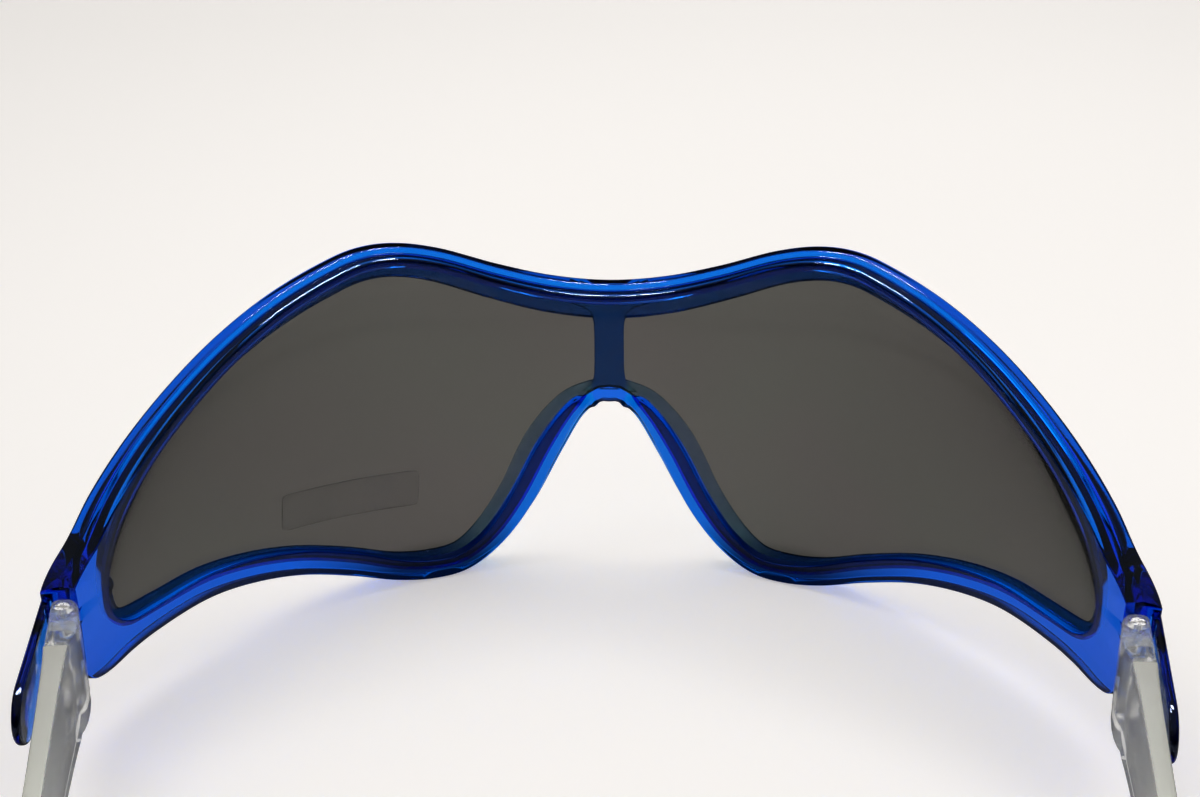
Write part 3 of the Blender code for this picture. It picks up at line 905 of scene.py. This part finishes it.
    def section(self, sizes: Sequence[float], web: float) -> list[Pair]:
        """Draws the rim's section: offsets outward from the lens edge and ahead of it.

        Args:
            sizes: How far the wall stands out from the lens edge, how far the rear bead and
                the front lip lap the lens, how thick the front lip is, how far the front
                flange stands out beyond the rear bead, and the step, from 0, a slope down to
                the flange, to 1, a square step.
            web: From 0, the full bead, to 1, the flat web at the nose arch.

        Returns:
            The section's points.
        """
        thick, rear_lip, front_lip, skin, flange, step = sizes
        slot, groove = self.lens.slot_half, self.lens.gap - self.lens.inset
        front = slot + skin
        back = slot - (slot + self.web_rear) * web
        rear = back + self.bead_depth + (self.web_bead - self.bead_depth) * web
        shelf = self.flange_rear + (rear - self.web_shelf - self.flange_rear) * web
        lip = rear_lip + (-groove - self.web_lap - rear_lip) * web
        bead = thick - flange
        slope = (1 - step) / 2
        foot = (bead + flange * slope, -shelf - (rear - shelf) * slope)
        least, most = self.edge_limits
        edge = min(max(2 * skin - MM, least), most) * (self.slope_edge + (1 - self.slope_edge) * step)
        corners = (
            (-front_lip, slot, self.crease),
            (-front_lip, front, self.lip_round),
            (thick, front, edge),
            (thick, -shelf, edge / 2),
            (*foot, self.foot_round),
            (bead, -rear, (1 + step) * self.lip_round),
            (-lip, -rear, self.bead_round),
            (-lip, -back, self.crease),
            (groove, -back, self.crease),
            (groove, slot, self.crease),
        )
        return filleted(corners, self.corner_steps)

    def web_share(self, arc: float, height: float) -> float:
        """Says how far a station belongs to the flat web at the nose arch.

        Args:
            arc: The station's arc.
            height: Its height.

        Returns:
            From 0, outside the web, to 1, inside it.
        """
        if height > (self.rows[0][1] + self.rows[-1][1]) / 2 * self.lens.peak:
            return 0.0
        t = min(max((abs(arc) - self.web_half_width) / self.web_fade, 0.0), 1.0)
        return 1 - t * t * (3 - 2 * t)

    def flat_rim(self) -> Object:
        """Lofts the rim, drawn flat.

        Returns:
            The flat rim.
        """
        half = self.edge()
        path = half + [(-row[0], *row[1:]) for row in reversed(half[1:-1])]
        rings = []
        for index, (arc, height, *sizes) in enumerate(path):
            out = outward(path[index - 1], path[(index + 1) % len(path)])
            section = self.section(sizes, self.web_share(arc, height))
            rings.append([(arc + b * out.x, n, height + b * out.y) for b, n in section])
        return loft("rim", rings, closed=True)

    def flat_bar(self) -> Object:
        """Lofts the centre bar, drawn flat.

        Returns:
            The flat bar.
        """
        near = self.lens.slot_half + self.lens.gap / 2
        far = near + self.bar_skin
        fine, broad = self.bar_rounds
        along, around = self.bar_steps
        rings = []
        for height_share, width_share in blended(self.bar_rows, along):
            height = self.bar_foot + height_share * (self.bar_head - self.bar_foot)
            half = width_share * self.bar_half_width
            corners = ((-half, near, fine), (half, near, fine), (half, far, broad), (-half, far, broad))
            rings.append([(arc, n, height) for arc, n in filleted(corners, around)])
        return loft("bar", rings)

    def build(self, wing: Wing, finish: Material) -> None:
        """Builds the rim and hands it in.

        Args:
            wing: The wing to join on each side.
            finish: Its material.
        """
        rim = self.lens.bend(self.flat_rim(), finish)
        bar = self.lens.bend(self.flat_bar(), finish)
        hinge, reach = self.hinge, self.reach
        tools = [
            (bar, Cut.JOIN),
            (box((-reach, -reach, -reach), (reach, hinge.end_y, reach)), Cut.REMOVE),
            (box((-reach, -reach, -reach), (reach, reach, 0.0)), Cut.REMOVE),
        ]
        radius, base, top = hinge.tongue_radius, hinge.tongue_base, hinge.tongue_top
        for side in Side:
            axis = (side.value * hinge.place_x, hinge.place_y)
            disc = cylinder(radius, base, top, axis)
            high = (axis[0] + radius, hinge.end_y + self.tongue_root, top)
            stem = box((axis[0] - radius, axis[1], base), high)
            carve(disc, [(stem, Cut.JOIN)])
            tools += [
                (wing.shape(side), Cut.JOIN),
                (cylinder(hinge.knuckle + hinge.gap, 0.0, self.socket_top, axis), Cut.REMOVE),
                (disc, Cut.JOIN),
                (cylinder(hinge.bore_radius, base - MM, top + MM, axis), Cut.REMOVE),
            ]
        carve(rim, tools)
        smooth_faces(rim)
        hand_in(rim, finish, "blue_clear_plastic", "front", "frame_front")


# The lens and its film


@dataclass(frozen=True)
class ShieldLens:
    """The bent smoke lens."""

    lens: LensForm
    rim: Rim
    columns: int = 160
    edge_round: float = 0.15 * MM
    edge_steps: int = 3
    reach: float = 0.9995

    def build(self, finish: Material) -> None:
        """Builds the lens and hands it in.

        Args:
            finish: Its material.
        """
        edge = self.rim.edge()
        edge = [edge[0], *edge, edge[-1]]
        rows = []
        for before, row, after in zip(edge, edge[1:], edge[2:]):
            out = outward(before, after) * -self.lens.inset
            rows.append((max(row[0] + out.x, 0.0), row[1] + out.y))
        turn = max(range(len(rows)), key=lambda k: rows[k][0])
        end = rows[turn][0]
        top, bottom = rows[: turn + 1], rows[: turn - 1 : -1]
        half = self.lens.thickness / 2
        rings = []
        for index in range(self.columns + 1):
            arc = end * math.sin(math.pi * (index / self.columns - 0.5)) * self.reach
            low, high = height_at(bottom, abs(arc)), height_at(top, abs(arc))
            corners = [(low, -half), (high, -half), (high, half), (low, half)]
            ring = filleted([(z, n, self.edge_round) for z, n in corners], self.edge_steps)
            rings.append([(arc, n, z) for z, n in ring])
        made = self.lens.bend(loft("lens", rings), finish)
        smooth_faces(made)
        hand_in(made, finish, "smoke_lens", "front", "shield_lens")


def height_at(rows: Sequence[Pair], arc: float) -> float:
    """Reads the height of an edge at an arc length.

    Args:
        rows: Arc and height along the edge, in order of arc.
        arc: Where to read it.

    Returns:
        The height there.
    """
    for p, q in zip(rows, rows[1:]):
        if arc < q[0]:
            return p[1] + (q[1] - p[1]) * (arc - p[0]) / (q[0] - p[0])
    return rows[-1][1]


@dataclass(frozen=True)
class LensFilm:
    """The plain clear film on the front of the lens."""

    lens: LensForm
    arc: float = -38.9 * MM
    height: float = 15.9 * MM
    length: float = 21.2 * MM
    width: float = 5.7 * MM
    corner: float = 0.9 * MM
    corner_steps: int = 6
    thickness: float = 0.2 * MM
    gap: float = 0.15 * MM
    tilt: float = math.radians(-5.4)
    columns: int = 12

    def build(self, finish: Material) -> None:
        """Builds the film and hands it in.

        Args:
            finish: Its material.
        """
        x, y = self.length / 2, self.width / 2
        corners = [(px, py, self.corner) for px, py in ((-x, -y), (x, -y), (x, y), (-x, y))]
        cosine, sine = math.cos(self.tilt), math.sin(self.tilt)
        near = self.lens.thickness / 2 + self.gap
        bm = bmesh.new()
        bm.faces.new([bm.verts.new((px, 0.0, py)) for px, py in filleted(corners, self.corner_steps)])
        for k in range(1, self.columns):
            cut = -x + 2 * x * k / self.columns
            geometry = bm.verts[:] + bm.edges[:] + bm.faces[:]
            bmesh.ops.bisect_plane(bm, geom=geometry, plane_co=(cut, 0.0, 0.0), plane_no=(1.0, 0.0, 0.0))
        thicken(bm, (0.0, self.thickness, 0.0))
        for v in bm.verts:
            px, ahead, py = v.co
            arc, height = self.arc + px * cosine - py * sine, self.height + px * sine + py * cosine
            v.co = Vector((arc, near + ahead, height))
        made = self.lens.bend(mesh_object("film", bm), finish)
        smooth_faces(made)
        hand_in(made, finish, "clear_film", "front", "lens_film")


# The temples and what is on them


@dataclass(frozen=True)
class Temple:
    """A clear temple, drawn about its hinge axis for the right-hand side.

    Each block row holds how far behind the axis it is, in millimetres, and its inner face as
    a share of the knuckle. The block's end holds its inner face as a share of the knuckle and
    its outer face as one of the block's. Each arm row holds its share of the arm's length, its
    lowest and highest height as shares of the temple's, and both faces as shares of the knuckle.
    """

    hinge: Hinge
    length: float = 112.0 * MM
    height: float = 25.818 * MM
    foot: float = 11.218 * MM
    outer: float = 1.6 * MM
    block: float = 8.9 * MM
    nut_radius: float = 1.35 * MM
    nut_base: float = 16.818 * MM
    nut_thickness: float = 1.0 * MM
    nut_gap: float = 0.25 * MM
    seat_base: float = 24.568 * MM
    seat_radius: float = 1.2 * MM
    screw_length: float = 10.2 * MM
    skim: float = 0.25 * MM
    nose_steps: int = 12
    nose_tip: float = 0.25
    nose_tuck: float = 0.8 * MM
    block_round: float = 0.3
    block_end: Pair = (0.85, 0.95)
    arm_round: float = 0.12
    arm_steps: int = 8
    corner_steps: int = 6
    slot_reach: float = 10.0 * MM
    floor_reach: float = 0.2
    top_slope: float = 0.9
    block_rows: Table = (
        (1.0, 1.06), (2.5, 1.2), (4.5, 1.26), (6.5, 1.22), (7.8, 1.1), (8.5, 0.95),
    )
    rows: Table = (
        (0.000, 0.435, 1.000, -0.85, 0.76),
        (0.040, 0.445, 0.995, -0.74, 0.64),
        (0.150, 0.480, 0.970, -0.62, 0.58),
        (0.350, 0.542, 0.937, -0.58, 0.54),
        (0.574, 0.600, 0.895, -0.60, 0.54),
        (0.702, 0.585, 0.850, -0.66, 0.52),
        (0.809, 0.470, 0.730, -0.80, 0.48),
        (0.894, 0.265, 0.530, -1.05, 0.40),
        (0.963, 0.055, 0.320, -1.25, 0.30),
        (0.989, 0.000, 0.220, -1.25, 0.20),
        (1.000, 0.050, 0.150, -1.05, 0.00),
    )

    def ring(self, low: float, high: float, inner: float, outer: float, back: float, share: float) -> list:
        """Draws a rounded section across the temple.

        Args:
            low: Its lowest height.
            high: Its highest height.
            inner: Its inner face.
            outer: Its outer face.
            back: How far behind the axis it is.
            share: The corners' radius as a share of the width.

        Returns:
            The section's points.
        """
        radius = share * (outer - inner)
        corners = ((inner, low, radius), (outer, low, radius), (outer, high, radius), (inner, high, radius))
        return [(x, -back, z) for x, z in filleted(corners, self.corner_steps)]

    def body(self) -> Object:
        """Lofts the knuckle, the block and the arm as one.

        Returns:
            The temple without its slot and holes.
        """
        rings = []
        knuckle, share = self.hinge.knuckle, self.block_round
        for k in range(self.nose_steps + 1):
            angle = math.pi / 2 * k / self.nose_steps
            half = max(knuckle * math.sin(angle), self.nose_tip * knuckle)
            tuck = (1 - math.sin(angle)) * self.nose_tuck
            sizes = (self.foot + tuck, self.height - tuck, -half, min(half, self.outer))
            rings.append(self.ring(*sizes, -knuckle * math.cos(angle), share))
        for back, inner in self.block_rows:
            rings.append(self.ring(self.foot, self.height, -knuckle * inner, self.outer, back * MM, share))
        faces = (-knuckle * self.block_end[0], self.outer * self.block_end[1])
        rings.append(self.ring(self.foot, self.height, *faces, self.block, self.arm_round))
        span = self.length - self.block
        sized = []
        for along, low, high, inner, outer in self.rows:
            heights = (low * self.height - self.skim, high * self.height)
            sized.append((self.block + along * span, *heights, inner * knuckle, outer * knuckle))
        for back, *sizes in blended(sized, self.arm_steps)[1:]:
            rings.append(self.ring(*sizes, back, self.arm_round))
        return loft("temple", rings)

    def build(self, side: Side, finish: Material, frosted: Material) -> None:
        """Builds one temple and hands it in.

        Args:
            side: The side that it belongs on.
            finish: Its material.
            frosted: The material of the arm's top face.
        """
        made, hinge = self.body(), self.hinge
        gap, far, deep = hinge.gap, self.slot_reach, self.floor_reach
        slot_low = (-far, -hinge.tongue_radius - gap, hinge.tongue_base - gap)
        reach = self.nut_radius + self.nut_gap
        pocket_low = (-far, -reach, self.nut_base - gap)
        pocket_high = (self.nut_radius, reach, self.nut_base + self.nut_thickness + gap)
        above = self.height + MM
        tools = (
            box(slot_low, (far, far, hinge.tongue_top + gap)),
            cylinder(hinge.bore_radius, self.seat_base - self.screw_length, above),
            cylinder(self.seat_radius, self.seat_base, above),
            box(pocket_low, pocket_high),
            box((-deep, -deep, -deep), (deep, deep, 0.0)),
        )
        carve(made, [(tool, Cut.REMOVE) for tool in tools])
        tops = [
            face.index
            for face in made.data.polygons
            if face.normal.z > self.top_slope and face.center.y < -self.block and face.center.z > self.foot
        ]
        made.name = f"temple_arm_{side.word}"
        toe_in = hinge.toe_in[0] if side is Side.LEFT else hinge.toe_in[1]
        smooth_faces(hinge.stand(made, side, toe_in))
        hand_in(made, finish, "clear_plastic", side.arm, f"temple_{side.word}")
        made.data.materials.append(frosted)
        for index in tops:
            made.data.polygons[index].material_index = 1


@dataclass(frozen=True)
class Screws:
    """The hinge screws, both made by one Geometry Nodes tree."""

    hinge: Hinge
    temple: Temple
    radius: float = 0.6 * MM
    head_radius: float = 0.95 * MM
    head_height: float = 0.65 * MM
    slot_width: float = 0.35 * MM
    slot_depth: float = 0.3 * MM

    def build(self, finish: Material) -> None:
        """Builds the screws and hands them in.

        Args:
            finish: Their material.
        """
        top = self.temple.height - self.hinge.gap
        shaft, head = (self.radius, self.temple.screw_length), (self.head_radius, self.head_height)
        values = dict(zip(SCREW_SIZES, (*shaft, *head, self.slot_width, self.slot_depth)))
        tree = screw_tree()
        for side in Side:
            made = bpy.data.objects.new(f"screw_{side.word}", bpy.data.meshes.new("screw"))
            bpy.context.scene.collection.objects.link(made)
            place = (side.value * self.hinge.place_x, self.hinge.place_y, top)
            smooth_faces(grow(made, tree, {"Place": place, "Finish": finish, **values}))
            hand_in(made, finish, "screw_steel", "front", f"hinge_screw_{side.word}")


# The studio


@dataclass(frozen=True)
class Studio:
    """The pale floor, the lights and the camera.

    Each ramp holds where it starts and ends, and its value at both. Each lamp holds its name,
    place, size, power in watts, and whether it serves only for glints.
    """

    floor_colour: Colour = (0.86, 0.83, 0.80)
    floor_glow: float = 0.5
    floor_roughness: float = 0.6
    floor_gloss: float = 0.2
    floor_half: float = 4.0
    floor_drop: float = 0.05 * MM
    # Painted pool of light: the floor's glow is brightest round this centre and fades outward.
    light_pool_centre: Place = (0.04, 0.17, 0.0)
    light_pool_ramp: tuple[float, ...] = (0.06, 0.32, 1.0, 0.64)
    card_ramp: tuple[float, ...] = (0.26, 0.42, 1.0, 0.04)
    # Painted shadow on the floor below the rim, seen by every ray but the camera's.
    rim_shadow_ramp: tuple[float, ...] = (4.0 * MM, 14.0 * MM, 0.06, 1.0)
    world_ramp: tuple[float, ...] = (0.45, 0.8, 0.03, 0.60)
    world_colour: Colour = (1.0, 0.985, 0.97)
    backdrop: float = 0.56
    matting: float = 0.6
    lamp_aim: Place = (0.0, 0.05, 0.02)
    lamps: tuple[tuple, ...] = (
        ("key", (-0.30, 0.05, 0.85), (0.40, 0.40), 1.2, False),
        ("fill", (0.45, 0.25, 0.85), (0.30, 0.30), 0.9, False),
        ("glint_left", (-0.22, 0.30, 0.75), (0.30, 0.14), 9.0, True),
        ("glint_right", (0.12, 0.40, 0.75), (0.30, 0.14), 9.0, True),
    )
    camera_place: Place = (0.01136438, -0.22014353, 0.20110492)
    camera_right: Place = (0.99927375, 0.03702111, -0.00902254)
    camera_up: Place = (-0.01070377, 0.49996683, 0.8659784)
    camera_ahead: Place = (-0.03657045, 0.86525291, -0.5)
    camera_length: float = 72.0
    sensor_width: float = 36.0
    clip_start: float = 0.01

    def mirrored(self, graph: Graph, rays: bpy.types.bpy_prop_collection) -> NodeSocket:
        """Dims what plastic mirrors, so that its own colour shows.

        Refracted rays count as glossy too, so only glossy rays that are not transmitted dim.

        Args:
            graph: The tree to add it to.
            rays: The outputs of its Light Path node.

        Returns:
            The share of light left: 1 for every ray but a mirrored one.
        """
        glossy = graph.math("SUBTRACT", rays["Is Glossy Ray"], rays["Is Transmission Ray"])
        mirror = graph.math("GREATER_THAN", glossy, 0.5)
        return graph.math("SUBTRACT", 1.0, graph.product(mirror, self.matting))

    def floor(self) -> None:
        """Lays the floor, with a painted pool of light in its glow and, for every ray but the camera's, a
        painted shadow below the rim.
        """
        bm = bmesh.new()
        lowered = Matrix.Translation((0.0, 0.0, -self.floor_drop))
        bmesh.ops.create_grid(bm, x_segments=1, y_segments=1, size=self.floor_half, matrix=lowered)
        made = mesh_object("floor", bm)
        for polygon in made.data.polygons:
            if polygon.normal.z < 0:
                polygon.flip()
        material = bpy.data.materials.new("pale_floor")
        material.use_nodes = True
        graph = Graph(material.node_tree)
        place = graph.node("ShaderNodeTexCoord").outputs["Object"]
        centre, axis = (
            graph.node("ShaderNodeVectorMath", {0: place, 1: spot}, operation="DISTANCE").outputs["Value"]
            for spot in (self.light_pool_centre, (0.0, LENS_AXIS_Y, 0.0))
        )
        rays = graph.node("ShaderNodeLightPath").outputs
        off = graph.math("ABSOLUTE", graph.math("SUBTRACT", axis, LENS_RADIUS))
        card_and_rim_shadow = graph.ramp(centre, self.card_ramp, "SMOOTHSTEP")
        # Painted shadow: the floor goes dark below the rim for every ray but the camera's.
        card_and_rim_shadow = graph.product(card_and_rim_shadow, graph.ramp(off, self.rim_shadow_ramp))
        # The share kept carries the card and the painted shadow into the floor's colour and glow.
        kept = graph.product(graph.math("MAXIMUM", card_and_rim_shadow, rays["Is Camera Ray"]), self.mirrored(graph, rays))
        seen = graph.math("MAXIMUM", rays["Is Camera Ray"], rays["Is Glossy Ray"])
        seen = graph.math("MAXIMUM", seen, rays["Is Transmission Ray"])
        # Painted pool of light in the floor's glow.
        painted_light_pool = graph.ramp(centre, self.light_pool_ramp, "SMOOTHSTEP")
        look = {
            "Base Color": graph.blend(kept, (0.0, 0.0, 0.0), self.floor_colour),
            "Roughness": self.floor_roughness,
            "Specular IOR Level": self.floor_gloss,
            "Emission Color": (*self.floor_colour, 1.0),
            "Emission Strength": graph.product(seen, kept, graph.product(painted_light_pool, self.floor_glow)),
        }
        graph.fill(graph.tree.nodes["Principled BSDF"], look)
        made.data.materials.append(material)

    def lamp(self, name: str, place: Sequence[float], size: Pair, power: float) -> Object:
        """Hangs a soft lamp aimed at the glasses.

        Args:
            name: The lamp's name.
            place: Where it hangs.
            size: Its width and depth.
            power: Its power in watts.

        Returns:
            The lamp.
        """
        data = bpy.data.lights.new(name, "AREA")
        data.shape = "RECTANGLE"
        data.size, data.size_y = size
        data.energy = power
        made = bpy.data.objects.new(name, data)
        made.location = place
        made.rotation_euler = (Vector(self.lamp_aim) - Vector(place)).to_track_quat("-Z", "Y").to_euler()
        bpy.context.scene.collection.objects.link(made)
        return made

    def world(self) -> None:
        """Sets the surroundings: pale overhead, dark towards the horizon."""
        world = bpy.data.worlds.new("studio")
        bpy.context.scene.world = world
        world.use_nodes = True
        graph = Graph(world.node_tree)
        up = graph.node("ShaderNodeTexCoord").outputs["Generated"]
        height = graph.node("ShaderNodeSeparateXYZ", {0: up}).outputs[2]
        level = graph.ramp(height, self.world_ramp, "SMOOTHSTEP")
        rays = graph.node("ShaderNodeLightPath").outputs
        camera = graph.product(rays["Is Camera Ray"], self.backdrop)
        level = graph.math("MAXIMUM", graph.product(level, self.mirrored(graph, rays)), camera)
        look = {"Color": (*self.world_colour, 1.0), "Strength": level}
        graph.fill(graph.tree.nodes["Background"], look)

    def camera(self) -> None:
        """Sets the camera where the photograph was taken."""
        data = bpy.data.cameras.new("photo_view")
        data.lens, data.sensor_width = self.camera_length, self.sensor_width
        data.clip_start = self.clip_start
        made = bpy.data.objects.new("photo_view", data)
        turn = Matrix((self.camera_right, self.camera_up, [-k for k in self.camera_ahead])).transposed()
        made.matrix_world = Matrix.Translation(self.camera_place) @ turn.to_4x4()
        bpy.context.scene.collection.objects.link(made)
        bpy.context.scene.camera = made

    def build(self) -> None:
        """Sets the whole studio up."""
        self.floor()
        self.world()
        for name, place, size, power, glints in self.lamps:
            lamp = self.lamp(name, place, size, power)
            lamp.visible_glossy = glints
            lamp.visible_diffuse = lamp.visible_transmission = not glints
        self.camera()
        bpy.context.scene.view_settings.view_transform = "Standard"


def main() -> None:
    """Builds every sub-assembly in order."""
    logging.basicConfig(level=logging.INFO, format="%(name)s: %(message)s")
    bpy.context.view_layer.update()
    studio = Studio()
    studio.build()
    finishes = (BLUE, SMOKE, CLEAR, FROSTED, FILM, STEEL)
    blue, smoke, clear, frosted, film, steel = (finish.build() for finish in finishes)
    lens, hinge = LensForm(), Hinge()
    rim = Rim(lens, hinge)
    rim.build(Wing(hinge), blue)
    ShieldLens(lens, rim).build(smoke)
    LensFilm(lens).build(film)
    temple = Temple(hinge)
    for side in Side:
        temple.build(side, clear, frosted)
    Screws(hinge, temple).build(steel)
    for name in ("hinge_nut_left", "hinge_nut_right"):
        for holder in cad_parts[name].material_slots:
            holder.material = steel


if __name__ == "__main__":
    main()
